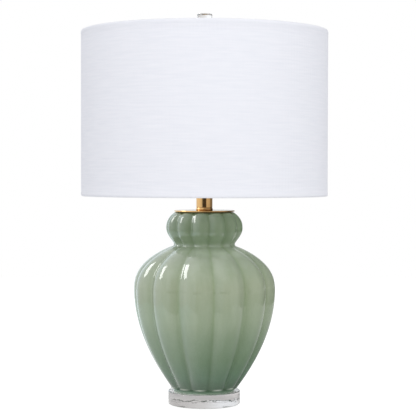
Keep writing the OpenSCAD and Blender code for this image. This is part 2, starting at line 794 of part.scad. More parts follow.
module swivel_stud() {
    rivet_z = pad_top - pad_h - seat_gap - rivet_t;
    color([0.75, 0.6, 0.35]) {
        translate([0, 0, rivet_z]) cylinder(r = stud_r, h = seat_top + stud_len - rivet_z);
        translate([0, 0, rivet_z]) cylinder(r = stud_r + 1.4, h = rivet_t);
        translate([0, 0, seat_top - seat_t]) cylinder(d = seat_d, h = seat_t);
    }
}

// Sloping end of each of the spider's arms, up to the top ring
module arm_ends(d) {
    around(arm_count, 90) stick([arm_bend_r, 0, arm_z], [ring_track_r, 0, top_ring_z], d);
}

// Hub, arms and top ring, welded into one piece
module shade_spider() {
    color([0.8, 0.8, 0.78]) difference() {
        union() {
            translate([0, 0, hub_z]) cylinder(d = spider_hub_d, h = spider_hub_t);
            around(arm_count, 90) {
                stick([arm_start_r, 0, arm_z], [arm_bend_r, 0, arm_z], arm_wire_d);
                translate([arm_bend_r, 0, arm_z]) sphere(d = arm_wire_d + 0.3);
            }
            arm_ends(arm_wire_d);
            translate([0, 0, top_ring_z]) rotate_extrude() translate([ring_track_r, 0]) circle(r = ring_r);
        }
        translate([0, 0, hub_z - cut]) cylinder(r = stud_r + slide_gap, h = spider_hub_t + 2 * cut);
    }
}

module shade_bottom_ring() {
    color([0.8, 0.8, 0.78]) translate([0, 0, bottom_ring_z])
        rotate_extrude() translate([ring_track_r, 0]) circle(r = ring_r);
}

module shade_lining() {
    edge = fabric_t + seat_gap;
    color([0.96, 0.96, 0.94]) ring(lining_r, lining_r - lining_t, shade_bottom + edge, shade_h - 2 * edge);
}

// Linen drum with a hem that folds over each ring and comes down inside, slit for the spider's arms
module shade_fabric() {
    t = fabric_t;
    top_hem = shade_top - hem_drop;
    bottom_hem = shade_bottom + hem_drop;
    color([0.95, 0.95, 0.97]) difference() {
        rotate_extrude() polygon([
            [shade_r, shade_bottom], [shade_r, shade_top], [hem_in_r, shade_top], [hem_in_r, top_hem],
            [hem_in_r + t, top_hem], [hem_in_r + t, shade_top - t], [shade_r - t, shade_top - t],
            [shade_r - t, shade_bottom + t], [hem_in_r + t, shade_bottom + t],
            [hem_in_r + t, bottom_hem], [hem_in_r, bottom_hem], [hem_in_r, shade_bottom]]);
        arm_ends(arm_wire_d + 2 * slide_gap);
    }
}

module finial_foot() {
    foot_r = finial_foot_d / 2;
    stem_r = finial_stem_d / 2;
    color([0.72, 0.55, 0.3]) difference() {
        union() {
            rotate_extrude() polygon([
                [0, finial_z], [foot_r - 0.6, finial_z], [foot_r, finial_z + 0.6], [foot_r, stem_z - 4],
                [stem_r, stem_z], [stem_r, disc_z - 2.5], [stem_r + 2.5, disc_z], [0, disc_z]]);
            translate([0, 0, disc_z - 1]) cylinder(r = disc_pin_r, h = disc_pin_h + 1);
        }
        translate([0, 0, finial_z - cut]) cylinder(r = stud_r + bearing_gap, h = stud_len + cut);
    }
}

module finial_disc() {
    r = finial_disc_d / 2;
    c = finial_chamfer;
    top = disc_z + finial_disc_h;
    color([0.9, 0.93, 0.95, 0.5]) difference() {
        rotate_extrude() polygon([
            [0, disc_z], [r - c, disc_z], [r, disc_z + c], [r, top - c], [r - c, top], [0, top]]);
        translate([0, 0, disc_z - cut]) cylinder(r = disc_pin_r + fit_gap, h = disc_pin_h + seat_gap + cut);
    }
}

bumper_feet();
acrylic_base();
foot_washer();
foot_nut();
threaded_rod();
gourd_body();
cord_bushing();
cap_cushion();
brass_cap();
cap_nut();
neck_collar();
neck_tube();
neck_check_ring();
harp_saddle();
lock_washer();
holder_cap();
set_screw();
holder_shell();
paper_insulator();
switch_core();
terminal_screws();
screw_shell();
centre_contact();
switch_shaft();
switch_knob();
bulb_cap();
bulb_insulator();
bulb_contact();
bulb_glass();
bulb_stem();
bulb_filament();
harp_wire();
sleeve(-leg_x);  // sleeve_left
sleeve(leg_x);  // sleeve_right
swivel_stud();
shade_spider();
shade_bottom_ring();
shade_lining();
shade_fabric();
finial_foot();
finial_disc();
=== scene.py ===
"""Looks of a table lamp: a lobed celadon gourd on a clear disc, aged brass fittings, a linen drum shade."""
import json
import math

import bmesh
import bpy
from mathutils import Matrix, Vector


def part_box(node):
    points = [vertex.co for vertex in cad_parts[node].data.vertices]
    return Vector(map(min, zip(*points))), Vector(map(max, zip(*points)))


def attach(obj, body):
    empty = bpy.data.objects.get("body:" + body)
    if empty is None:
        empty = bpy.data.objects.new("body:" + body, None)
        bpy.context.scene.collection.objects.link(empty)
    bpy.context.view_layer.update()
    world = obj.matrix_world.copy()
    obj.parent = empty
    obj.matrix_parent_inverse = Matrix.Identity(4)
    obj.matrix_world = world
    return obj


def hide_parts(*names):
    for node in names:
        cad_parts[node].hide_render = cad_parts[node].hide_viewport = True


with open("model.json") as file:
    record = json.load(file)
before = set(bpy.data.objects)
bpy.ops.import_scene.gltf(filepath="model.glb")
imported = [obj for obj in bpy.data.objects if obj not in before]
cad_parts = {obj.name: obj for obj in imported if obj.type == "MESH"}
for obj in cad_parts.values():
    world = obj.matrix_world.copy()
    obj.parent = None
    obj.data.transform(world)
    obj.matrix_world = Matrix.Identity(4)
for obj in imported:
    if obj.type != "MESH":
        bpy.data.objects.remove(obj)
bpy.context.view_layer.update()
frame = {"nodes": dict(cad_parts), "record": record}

MM = 0.001
FULL_TURN = 2 * math.pi

# Camera: a long lens a little above the middle of the lamp, tilted down
CAMERA_DISTANCE = 2.1
CAMERA_HEIGHT = 0.357
LENS_MM = 117.31
SENSOR_MM = 36
FAR_CLIP = 50
PITCH = math.radians(1.428)
ROLL = math.radians(0.1)
YAW = math.radians(0.155)

# The point that every light faces
LIGHTS_AIM = Vector((0, 0, 0.25))

# The table top: its front edge, half its width and its depth
TABLE_FRONT = -0.47
TABLE_HALF_WIDTH = 0.78
TABLE_DEPTH = 3.0

# Radii, heights and groove depths of the gourd's four stretches, as the solid gourd has them
LOBES = 12
FIRST_CREST = math.radians(-67)
LOBE_ROUNDNESS = 0.8
WALL = 5 * MM
FOOT_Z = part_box("acrylic_base")[1].z
BELLY_Z = FOOT_Z + 156 * MM
WAIST_Z = BELLY_Z + 68.5 * MM
CROWN_Z = WAIST_Z + 28 * MM
MOUTH_Z = CROWN_Z + 24 * MM
FOOT_R = 48 * MM
BELLY_R = 110.1 * MM
WAIST_R = 46.5 * MM
CROWN_R = 59.6 * MM
MOUTH_R = 45 * MM
BELLY_GROOVE = 9.5 * MM
WAIST_GROOVE = 4 * MM
CROWN_GROOVE = 6 * MM
MOUTH_GROOVE = 3 * MM


# Small tools for shader nodes

def linear(code):
    """Linear colour of an sRGB hex code."""
    parts = [int(code[i:i + 2], 16) / 255 for i in (1, 3, 5)]
    return [p / 12.92 if p <= 0.04045 else ((p + 0.055) / 1.055) ** 2.4 for p in parts] + [1]


def add(tree, kind, values=None):
    """Adds a shader node. Values are its properties and inputs. An input may take another node's output."""
    node = tree.nodes.new(kind)
    for key, value in (values or {}).items():
        if isinstance(value, bpy.types.NodeSocket):
            tree.links.new(value, node.inputs[key])
        elif isinstance(key, str) and hasattr(node, key):
            setattr(node, key, value)
        else:
            node.inputs[key].default_value = value
    return node


def new_material(name, uv_layer=None):
    """An empty node material: the material, its tree, its output node, and the place on the surface, in the
    object's coordinates or on a UV layer."""
    material = bpy.data.materials.new(name)
    material.use_nodes = True
    tree = material.node_tree
    tree.nodes.clear()
    output = add(tree, "ShaderNodeOutputMaterial")
    if uv_layer:
        place = add(tree, "ShaderNodeUVMap", {"uv_map": uv_layer}).outputs["UV"]
    else:
        place = add(tree, "ShaderNodeTexCoord").outputs["Object"]
    return material, tree, output, place


def finish_surface(tree, output, values):
    """Adds the Principled shader of a material and joins it to the output."""
    shader = add(tree, "ShaderNodeBsdfPrincipled", values)
    tree.links.new(shader.outputs["BSDF"], output.inputs["Surface"])


def ramp(tree, factor, stops):
    """The colour of a ramp whose stops are positions and hex colours."""
    node = add(tree, "ShaderNodeValToRGB", {"Fac": factor})
    elements = node.color_ramp.elements
    while len(elements) < len(stops):
        elements.new(0.5)
    for element, (position, code) in zip(elements, stops):
        element.position = position
        element.color = linear(code)
    return node.outputs["Color"]


def noise(tree, source, scale, detail=2, roughness=0.5):
    """Noise from 0 to 1. Three scales, one for each axis, draw it out into streaks."""
    if isinstance(scale, tuple):
        source = add(tree, "ShaderNodeMapping", {"Scale": scale, "Vector": source}).outputs["Vector"]
        scale = 1.0
    return add(tree, "ShaderNodeTexNoise", {
        "Scale": scale, "Detail": detail, "Roughness": roughness, "Vector": source}).outputs["Fac"]


def spread(tree, value, low, high, new_low=0.0, new_high=1.0):
    """A value carried from one range over to another, and held to its ends."""
    return add(tree, "ShaderNodeMapRange", {
        "From Min": low, "From Max": high, "To Min": new_low, "To Max": new_high,
        "Value": value}).outputs["Result"]


def maths(tree, operation, *values):
    """The result of a calculation on numbers and node outputs."""
    return add(tree, "ShaderNodeMath", {"operation": operation, **dict(enumerate(values))}).outputs[0]


def blend(tree, factor, first, second, kind="MIX"):
    """A mix of two colours, each a hex code or a node's output."""
    first, second = (linear(c) if isinstance(c, str) else c for c in (first, second))
    return add(tree, "ShaderNodeMix", {
        "data_type": "RGBA", "blend_type": kind,
        "Factor": factor, "A": first, "B": second}).outputs["Result"]


def blend_shaders(tree, factor, first, second):
    """A mix of two shaders."""
    return add(tree, "ShaderNodeMixShader", {0: factor, 1: first, 2: second}).outputs[0]


def bump(tree, height, strength, distance):
    """The surface's direction with a relief on it."""
    return add(tree, "ShaderNodeBump", {
        "Strength": strength, "Distance": distance, "Height": height}).outputs["Normal"]


# Materials

def celadon_glaze():
    """Celadon glaze on slip-cast stoneware: a clear glossy coat over a grey green. The green is darker
    towards the foot, partly glaze pooled thick there and partly painted shade where the surface turns down,
    and darkest where the lobes turn under above the foot ring. It is darker again over the crown, partly its
    own tone and partly painted shade under the lampshade, and lighter just below the waist. The foot ring is
    painted lighter against its shade, and a painted highlight lies on each lobe's crest just above it. It
    has flecks and faint runs."""
    material, tree, output, place = new_material("celadon_glaze")
    cloudiness, fleck_strength, run_strength = 0.06, 0.05, 0.28
    height = add(tree, "ShaderNodeSeparateXYZ", {"Vector": place}).outputs["Z"]
    share = spread(tree, height, FOOT_Z, MOUTH_Z)
    drift = maths(tree, "MULTIPLY_ADD", noise(tree, place, 14, 3), cloudiness, -cloudiness / 2)
    level = maths(tree, "MULTIPLY_ADD", share, drift, share)
    # Painted shade in this ramp: darker towards the foot (partly real thick glaze) and where the lobes turn
    # under, and darker over the crown under the lampshade. The lowest stops paint the foot ring lighter
    # against its shade.
    body = ramp(tree, level, [
        (0.0, "#8aaa8e"), (0.012, "#8aaa8e"), (0.02, "#48634c"), (0.1, "#607e64"), (0.2, "#70896b"),
        (0.3, "#82967a"), (0.42, "#98a78b"), (0.6, "#a0ab90"), (0.76, "#a6b49c"), (0.79, "#bac8b0"),
        (0.84, "#8fa284"), (0.9, "#889c7c"), (1.0, "#8da182")])
    pool = add(tree, "ShaderNodeAttribute", {"attribute_name": "pool"}).outputs["Fac"]
    pooled = blend(tree, pool, body, "#e8efe0", "MULTIPLY")
    # Painted highlight: a pale band on each lobe's crest just above the foot ring, masked by the rim layer.
    rim = add(tree, "ShaderNodeAttribute", {"attribute_name": "rim"}).outputs["Fac"]
    painted_rim_highlight = blend(tree, rim, pooled, "#dfe8d8")
    fleck = spread(tree, noise(tree, place, 900), 0.35, 0.65, 0.0, fleck_strength)
    mottled = blend(tree, fleck, painted_rim_highlight, "#d8dccb")
    thin = spread(tree, noise(tree, place, (85, 85, 16), 3), 0.35, 0.65, 0.0, run_strength)
    streaked = blend(tree, thin, mottled, "#dfe6d4", "MULTIPLY")
    finish_surface(tree, output, {"Roughness": 0.035, "IOR": 1.64, "Base Color": streaked})
    return material


def clear_acrylic():
    """Cast acrylic, cut and flame polished: clear, a trace wavy, and faintly grey where it is thick."""
    material, tree, output, place = new_material("clear_acrylic")
    wave = noise(tree, place, (75, 75, 140))
    finish_surface(tree, output, {
        "Base Color": linear("#f8f6f5"), "Roughness": 0.01, "IOR": 1.49, "Transmission Weight": 1.0,
        "Normal": bump(tree, wave, 0.5, 0.8 * MM)})
    depth = add(tree, "ShaderNodeVolumeAbsorption", {"Color": linear("#8c8482"), "Density": 4.2})
    tree.links.new(depth.outputs["Volume"], output.inputs["Volume"])
    return material


def clear_silicone():
    """Moulded silicone bumper: clear but faintly cloudy, with a soft sheen."""
    material, tree, output, place = new_material("clear_silicone")
    rough = spread(tree, noise(tree, place, 300), 0, 1, 0.2, 0.34)
    finish_surface(tree, output, {
        "Base Color": linear("#cfcecb"), "IOR": 1.41, "Transmission Weight": 0.8, "Roughness": rough})
    return material


def brass(name, light, dark, roughness, grain, tarnish=0.5):
    """Brass: two tones of metal and tarnish, and brushing or turning marks drawn out by grain."""
    material, tree, output, place = new_material(name)
    fade = spread(tree, noise(tree, place, 70, 4), 0.35, 0.75, 0.0, tarnish)
    marks = noise(tree, place, grain)
    finish_surface(tree, output, {
        "Metallic": 1.0, "Base Color": blend(tree, fade, light, dark),
        "Roughness": spread(tree, marks, 0, 1, roughness * 0.75, roughness * 1.3),
        "Normal": bump(tree, marks, 0.03, 0.05 * MM)})
    return material


def plated_steel(name, code, roughness, grain):
    """Zinc plated or drawn metal: a pale grey with fine drawing marks and slight clouding."""
    material, tree, output, place = new_material(name)
    marks = noise(tree, place, grain, 3)
    finish_surface(tree, output, {
        "Metallic": 1.0, "Base Color": blend(tree, marks, code, "#8d9296"),
        "Roughness": spread(tree, marks, 0, 1, roughness * 0.7, roughness * 1.3)})
    return material


def moulded(name, code, second, roughness, grain_mm, ior=1.5, relief=0.15):
    """Moulded or sheet material without metal: two close tones and a fine surface grain."""
    material, tree, output, place = new_material(name)
    grain = noise(tree, place, 1 / (grain_mm * MM), 3)
    finish_surface(tree, output, {
        "Roughness": roughness, "IOR": ior, "Base Color": blend(tree, grain, code, second),
        "Normal": bump(tree, grain, relief, 0.1 * MM)})
    return material


def glass(name, code, roughness, see_through):
    """Blown glass: clear, or frosted by a white coat inside."""
    material, tree, output, place = new_material(name)
    rough = spread(tree, noise(tree, place, 90), 0, 1, roughness * 0.8, roughness * 1.2)
    finish_surface(tree, output, {
        "Base Color": linear(code), "IOR": 1.52, "Transmission Weight": see_through, "Roughness": rough})
    return material


def white_linen():
    """Bleached linen in a plain weave: matt, with weft slubs 2 to 3 mm wide that run round the drum and
    finer warp streaks up it. Single threads are too fine for the photograph, so a faint relief of bands,
    5.7 mm apart both ways, stands for the weave."""
    material, tree, output, cut = new_material("white_linen", "cut")
    slub = noise(tree, cut, (34, 620, 1), 3, 0.6)
    band = noise(tree, cut, (22, 330, 1))
    warp = noise(tree, cut, (700, 30, 1))
    band_scale = 500 / 9
    weft_bands, warp_bands = (add(tree, "ShaderNodeTexWave", {
        "bands_direction": way, "Scale": band_scale, "Distortion": 1.2, "Detail": 1,
        "Vector": cut}).outputs["Fac"] for way in ("Y", "X"))
    slubs = maths(tree, "MULTIPLY_ADD", slub, 0.6, band)
    streak = maths(tree, "MULTIPLY_ADD", warp, 0.25, slubs)
    weave = maths(tree, "ADD", weft_bands, warp_bands)
    relief = maths(tree, "MULTIPLY_ADD", weave, 0.35, slubs)
    finish_surface(tree, output, {
        "Roughness": 0.9, "Sheen Weight": 0.08, "Specular IOR Level": 0.2,
        "Base Color": blend(tree, spread(tree, streak, 0.6, 1.25), "#eff1f6", "#f6f7fb"),
        "Normal": bump(tree, relief, 0.35, 0.25 * MM)})
    return material


MATERIALS = {
    "celadon_glaze": celadon_glaze(),
    "clear_acrylic": clear_acrylic(),
    "clear_silicone": clear_silicone(),
    # Antique brass: satin, lacquered, browned in patches, with marks that run round the lamp
    "aged_brass": brass("aged_brass", "#cba471", "#a27b48", 0.09, (120, 120, 2600)),
    # Plain brass of lamp fittings: pale and a little rough
    "brass": brass("brass", "#cda95f", "#a98546", 0.27, (300, 300, 1500), 0.35),
    "zinc_steel": plated_steel("zinc_steel", "#c3c7ca", 0.32, (260, 260, 1800)),
    "bulb_aluminium": plated_steel("bulb_aluminium", "#d2d3d1", 0.25, (200, 200, 900)),
    "lead_wire": plated_steel("lead_wire", "#9c9a96", 0.35, (400, 400, 400)),
    "black_rubber": moulded("black_rubber", "#191919", "#232322", 0.75, 0.5),
    "insulating_paper": moulded("insulating_paper", "#4c4238", "#5d5247", 0.85, 0.4, relief=0.3),
    "black_phenolic": moulded("black_phenolic", "#16130f", "#221d18", 0.32, 0.6),
    "black_glass": moulded("black_glass", "#0d0d12", "#15151b", 0.08, 1.5, 1.52, 0.03),
    "white_painted_wire": moulded("white_painted_wire", "#dcdcda", "#e6e6e3", 0.45, 0.7),
    "white_styrene": moulded("white_styrene", "#eeeeec", "#f4f4f2", 0.55, 1.0, relief=0.08),
    "frosted_glass": glass("frosted_glass", "#f4f4ef", 0.35, 0.25),
    "clear_glass": glass("clear_glass", "#eef3f3", 0.02, 1.0),
    "white_linen": white_linen(),
}


# Small tools for meshes

ON_AXIS = 1e-9
WELD = 1e-7


def rounded(outline, radius, steps=3):
    """A closed outline with its corners rounded, apart from those on the axis. A point just past each corner
    keeps the shading of the straight runs flat."""
    longest_share, support_reach = 0.38, 1.25
    result = []
    for i, corner in enumerate(outline):
        here, before = Vector(corner), Vector(outline[i - 1])
        after = Vector(outline[(i + 1) % len(outline)])
        if here.x < ON_AXIS:
            result.append(here)
            continue
        reach_in = min(radius, longest_share * (before - here).length)
        reach_out = min(radius, longest_share * (after - here).length)
        way_in, way_out = (before - here).normalized(), (after - here).normalized()
        start, end = here + way_in * reach_in, here + way_out * reach_out
        result.append(here + way_in * reach_in * support_reach)
        for k in range(steps + 1):
            t = k / steps
            result.append(start * (1 - t) ** 2 + here * 2 * t * (1 - t) + end * t ** 2)
        result.append(here + way_out * reach_out * support_reach)
    return result


def turn(bm, outline, steps=96, start=0.0, closed=True, values=None):
    """Turns an outline of (radius, height) points once round the Z axis. values is a layer and each point's
    number on it, which the turned points keep."""
    points = [(r * math.cos(start), r * math.sin(start), z) for r, z in outline]
    verts = [bm.verts.new(p) for p in points]
    if values:
        layer, numbers = values
        for vert, number in zip(verts, numbers):
            vert[layer] = number
    edges = [bm.edges.new(pair) for pair in zip(verts, verts[1:])]
    if closed and min(r for r, z in outline) > ON_AXIS:
        edges.append(bm.edges.new((verts[-1], verts[0])))
    bmesh.ops.spin(bm, geom=verts + edges, cent=(0, 0, 0), axis=(0, 0, 1), angle=FULL_TURN, steps=steps,
                   use_merge=True)
    bmesh.ops.remove_doubles(bm, verts=bm.verts, dist=WELD)
    bmesh.ops.dissolve_degenerate(bm, edges=bm.edges, dist=WELD / 10)
    bmesh.ops.recalc_face_normals(bm, faces=bm.faces)


def piece(name, bm, body, slot, replaces=(), crease=35):
    """Makes an object of a mesh, gives it its material and lets it ride on its body."""
    mesh = bpy.data.meshes.new(name)
    bm.to_mesh(mesh)
    bm.free()
    mesh.shade_smooth()
    mesh.set_sharp_from_angle(angle=math.radians(crease))
    mesh.materials.append(MATERIALS[slot])
    obj = bpy.data.objects.new(name, mesh)
    bpy.context.scene.collection.objects.link(obj)
    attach(obj, body)
    if replaces:
        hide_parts(*replaces)
    return obj


def turned_piece(name, outline, body, slot, replaces, edge=0.3 * MM, steps=96, move=None):
    """A piece turned on the lathe, with softened edges."""
    bm = bmesh.new()
    turn(bm, rounded(outline, edge), steps)
    if move:
        bmesh.ops.transform(bm, matrix=move, verts=bm.verts)
    return piece(name, bm, body, slot, replaces)


def cut_away(obj, tool_bm):
    """Cuts a closed shape out of an object's mesh."""
    mesh = bpy.data.meshes.new("tool")
    tool_bm.to_mesh(mesh)
    tool_bm.free()
    tool = bpy.data.objects.new("tool", mesh)
    bpy.context.scene.collection.objects.link(tool)
    cut = obj.modifiers.new("cut", "BOOLEAN")
    cut.object = tool
    cut.solver = "EXACT"
    shaped = obj.evaluated_get(bpy.context.evaluated_depsgraph_get())
    obj.data = bpy.data.meshes.new_from_object(shaped)
    obj.modifiers.clear()
    bpy.data.objects.remove(tool)


def coil(bm, profile, pitch, turns, steps):
    """Winds a profile of (radius, height) points up round the Z axis, as the ridge of a thread."""
    verts = [bm.verts.new((r, 0, z)) for r, z in profile]
    edges = [bm.edges.new(pair) for pair in zip(verts, verts[1:])]
    bmesh.ops.spin(bm, geom=verts + edges, cent=(0, 0, 0), axis=(0, 0, 1), dvec=(0, 0, pitch / steps),
                   angle=FULL_TURN * turns, steps=steps * turns)


def round_size(node):
    """Outer radius, foot and top of a round CAD node."""
    low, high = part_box(node)
    return (high.x - low.x) / 2, low.z, high.z


# Camera, lights and floor

def make_camera():
    """The photograph's view, without depth of field."""
    data = bpy.data.cameras.new("camera")
    data.lens = LENS_MM
    data.sensor_width = SENSOR_MM
    data.clip_end = FAR_CLIP
    camera = bpy.data.objects.new("camera", data)
    bpy.context.scene.collection.objects.link(camera)
    turn_up = Matrix.Rotation(math.pi / 2 - PITCH, 4, "X")
    camera.matrix_world = (Matrix.Translation((0, -CAMERA_DISTANCE, CAMERA_HEIGHT))
                           @ Matrix.Rotation(-YAW, 4, "Z") @ turn_up @ Matrix.Rotation(ROLL, 4, "Z"))
    bpy.context.scene.camera = camera
    bpy.context.scene.view_settings.view_transform = "Standard"


def soft_light(name, azimuth, elevation, distance, width, height, radiance, roll=0, seen_in_gloss=False):
    """A rectangular soft light that faces the lamp. Azimuth is counted from the camera, to the right.
    A light is either seen in gloss alone, or it lights matt surfaces and isn't seen in gloss."""
    data = bpy.data.lights.new(name, "AREA")
    data.shape = "RECTANGLE"
    data.size = width
    data.size_y = height
    data.energy = radiance * math.pi * width * height
    light = bpy.data.objects.new(name, data)
    bpy.context.scene.collection.objects.link(light)
    a, e = math.radians(azimuth), math.radians(elevation)
    toward = Vector((math.sin(a) * math.cos(e), -math.cos(a) * math.cos(e), math.sin(e)))
    facing = toward.to_track_quat("Z", "Y").to_matrix().to_4x4()
    light.matrix_world = (Matrix.Translation(LIGHTS_AIM + toward * distance) @ facing
                          @ Matrix.Rotation(math.radians(roll), 4, "Z"))
    light.visible_camera = False
    light.visible_transmission = False
    light.visible_diffuse = not seen_in_gloss
    light.visible_glossy = seen_in_gloss


def make_world():
    """A white studio. The camera sees plain white, clear pieces see it mostly white, and matt surfaces get
    soft light from it. Gloss sees pale panels from the left round to the back, greyer ones in front and at
    the right, a dark flag behind on the right, and a top that is white at the left and grey at the right.
    Near eye level a dark gap lies round the camera, which the neck shows as a stripe.
    The wall and horizon ramps run once round the lamp: 0 behind, 0.25 left, 0.5 the camera, 0.75 right."""
    matt_light, clear_share = 0.74, 0.6
    world = bpy.data.worlds.new("studio")
    bpy.context.scene.world = world
    world.use_nodes = True
    tree = world.node_tree
    tree.nodes.clear()
    rays = add(tree, "ShaderNodeLightPath").outputs
    view = add(tree, "ShaderNodeTexCoord").outputs["Generated"]
    direction = add(tree, "ShaderNodeSeparateXYZ", {"Vector": view}).outputs
    front = maths(tree, "MULTIPLY", direction["Y"], -1.0)
    azimuth = maths(tree, "ARCTAN2", direction["X"], front)
    share = spread(tree, azimuth, -math.pi, math.pi)
    walls = ramp(tree, share, [
        (0.0, "#b4b8ba"), (0.05, "#e6f0f8"), (0.15, "#e6f0f8"), (0.19, "#f8fcff"), (0.31, "#f8fcff"),
        (0.38, "#c8cdcf"), (0.44, "#c8cdcf"), (0.49, "#98968f"), (0.52, "#98968f"), (0.56, "#a4a29d"),
        (0.72, "#a4a29d"), (0.79, "#424042"), (0.9, "#424042"), (0.94, "#828282"), (1.0, "#b4b8ba")])
    horizon = ramp(tree, share, [
        (0.0, "#b4b8ba"), (0.05, "#dce6ec"), (0.31, "#e4e8ea"), (0.4, "#d0d4d6"), (0.437, "#1c1a18"),
        (0.565, "#1c1a18"), (0.595, "#c8c6c1"), (0.72, "#b8b6b1"), (0.8, "#605e5c"), (1.0, "#b4b8ba")])
    eye_level = -0.022
    off_level = maths(tree, "ABSOLUTE", maths(tree, "ADD", direction["Z"], -eye_level))
    near = spread(tree, off_level, 0.02, 0.045, 1.0, 0.0)
    around = blend(tree, near, walls, horizon)
    top = ramp(tree, spread(tree, direction["X"], -0.5, 0.4), [(0.0, "#ffffff"), (1.0, "#80827e")])
    panels = blend(tree, spread(tree, direction["Z"], 0.45, 0.8), around, top)
    # The panels are dimmer below the horizon
    strength = spread(tree, direction["Z"], -0.2, -0.02, 1.32, 1.75)
    gloss = add(tree, "ShaderNodeBackground", {"Color": panels, "Strength": strength}).outputs[0]
    soft = add(tree, "ShaderNodeBackground", {"Color": linear("#fbfbff"), "Strength": matt_light}).outputs[0]
    white = add(tree, "ShaderNodeBackground", {"Color": linear("#ffffff"), "Strength": 1.0}).outputs[0]
    traced = maths(tree, "MAXIMUM", rays["Is Glossy Ray"], rays["Is Transmission Ray"])
    through = maths(tree, "MULTIPLY", rays["Is Transmission Ray"], clear_share)
    plain = maths(tree, "MAXIMUM", rays["Is Camera Ray"], through)
    final = blend_shaders(tree, plain, blend_shaders(tree, traced, soft, gloss), white)
    add(tree, "ShaderNodeOutputWorld", {"Surface": final})


def make_floor():
    """A white table top that ends in front of the lamp. The camera sees it white, with the lamp's soft
    shadow. Gloss sees it pale at the left and grey at the right, as the panels light it."""
    camera_share, clear_share = 0.7, 0.2
    seen_glow, mirrored_glow = 1.32, 1.55
    material, tree, output, place = new_material("white_table_top")
    rays = add(tree, "ShaderNodeLightPath").outputs
    mirrored = rays["Is Glossy Ray"]
    paint = add(tree, "ShaderNodeBsdfDiffuse", {"Color": linear("#efefef")}).outputs[0]
    across = add(tree, "ShaderNodeSeparateXYZ", {"Vector": place}).outputs["X"]
    lit = ramp(tree, spread(tree, across, -0.5, 0.5), [
        (0.1, "#ecfaff"), (0.42, "#e4e4e4"), (0.5, "#b4b4b4"), (0.58, "#888888"), (0.68, "#8c8c8c"),
        (0.9, "#b4b4b4")])
    glow = add(tree, "ShaderNodeMix", {
        "data_type": "FLOAT", "A": seen_glow, "B": mirrored_glow, "Factor": mirrored}).outputs["Result"]
    white = add(tree, "ShaderNodeEmission", {
        "Color": blend(tree, mirrored, "#ffffff", lit), "Strength": glow}).outputs[0]
    seen = maths(tree, "MULTIPLY", rays["Is Camera Ray"], camera_share)
    through = maths(tree, "MULTIPLY", rays["Is Transmission Ray"], clear_share)
    share = maths(tree, "MAXIMUM", maths(tree, "MAXIMUM", seen, through), mirrored)
    tree.links.new(blend_shaders(tree, share, paint, white), output.inputs["Surface"])
    bm = bmesh.new()
    bmesh.ops.create_grid(bm, x_segments=1, y_segments=1, size=1)
    bmesh.ops.scale(bm, vec=(TABLE_HALF_WIDTH, TABLE_DEPTH / 2, 1), verts=bm.verts)
    bmesh.ops.translate(bm, vec=(0, TABLE_FRONT + TABLE_DEPTH / 2, 0), verts=bm.verts)
    mesh = bpy.data.meshes.new("table_top")
    bm.to_mesh(mesh)
    bm.free()
    mesh.materials.append(material)
    floor = bpy.data.objects.new("table_top", mesh)
    bpy.context.scene.collection.objects.link(floor)


def make_studio():
    """Floor, world and lights."""
    make_floor()
    make_world()
    soft_light("front_bank", azimuth=0, elevation=34, distance=2.6, width=1.8, height=1.2, radiance=2.6)
    soft_light("right_fill", azimuth=75, elevation=15, distance=2.4, width=1.2, height=1.4, radiance=0.5)
    soft_light("left_strip", azimuth=-100, elevation=36.6, distance=1.3, width=0.36, height=0.8,
               radiance=7.2, roll=50.6, seen_in_gloss=True)


# Gourd

OUTLET_Z = FOOT_Z + 22 * MM
OUTLET_SEAT = 1.8 * MM
OUTLET_ANGLE = FIRST_CREST + FULL_TURN / LOBES * 5


def swell(t, n, q):
    """A share that falls from 1 at the widest place, t = 0, to 0 at the end, t = 1. n and q shape it."""
    return max(0.0, 1 - t ** n) ** q


def mix(a, b, share):
    """A number between two others."""
    return a + (b - a) * share


def stretches(z):
    """The stretch that a height is in: narrow and wide radius, share of the swelling and groove depth."""
    if z < BELLY_Z:
        t = min(1.0, (BELLY_Z - z) / (BELLY_Z - FOOT_Z))
        return FOOT_R, BELLY_R, swell(t, 1.92, 1), BELLY_GROOVE * (1 - t ** 12) * (1 - 0.3 * t)
    if z < WAIST_Z:
        share = swell((z - BELLY_Z) / (WAIST_Z - BELLY_Z), 2.4, 0.86)
        return WAIST_R, BELLY_R, share, mix(WAIST_GROOVE, BELLY_GROOVE, share)
    if z < CROWN_Z:
        share = swell((CROWN_Z - z) / (CROWN_Z - WAIST_Z), 2.2, 1.77)
        return WAIST_R, CROWN_R, share, mix(WAIST_GROOVE, CROWN_GROOVE, share)
    share = swell(min(1.0, (z - CROWN_Z) / (MOUTH_Z - CROWN_Z)), 2.2, 0.87)
    return MOUTH_R, CROWN_R, share, mix(MOUTH_GROOVE, CROWN_GROOVE, share)


def crest_r(z):
    """Radius along the crest of a lobe."""
    narrow, wide, share = stretches(z)[:3]
    return mix(narrow, wide, share)


def groove_depth(z):
    """Depth of the grooves between the lobes."""
    return stretches(z)[3]


OUTLET_TILT = math.atan((crest_r(OUTLET_Z + 0.5 * MM) - crest_r(OUTLET_Z - 0.5 * MM)) / MM)
OUTLET = (Matrix.Rotation(OUTLET_ANGLE, 4, "Z") @ Matrix.Translation((crest_r(OUTLET_Z), 0, OUTLET_Z))
          @ Matrix.Rotation(math.pi / 2 + OUTLET_TILT, 4, "Y") @ Matrix.Translation((0, 0, -OUTLET_SEAT)))


def cavity_r(z):
    """Radius of the cavity, a wall's thickness inside the grooves."""
    return min(crest_r(h) - groove_depth(h) for h in (z - WALL, z, z + WALL)) - WALL


def eased(low, high, count, dense_low, dense_high):
    """Heights between two levels, closer together at the ends that are named dense."""
    heights = []
    for i in range(count):
        t = i / count
        if dense_low and dense_high:
            t = (1 - math.cos(math.pi * t)) / 2
        elif dense_high:
            t = math.sin(math.pi / 2 * t)
        elif dense_low:
            t = 1 - math.cos(math.pi / 2 * t)
        heights.append(mix(low, high, t))
    return heights


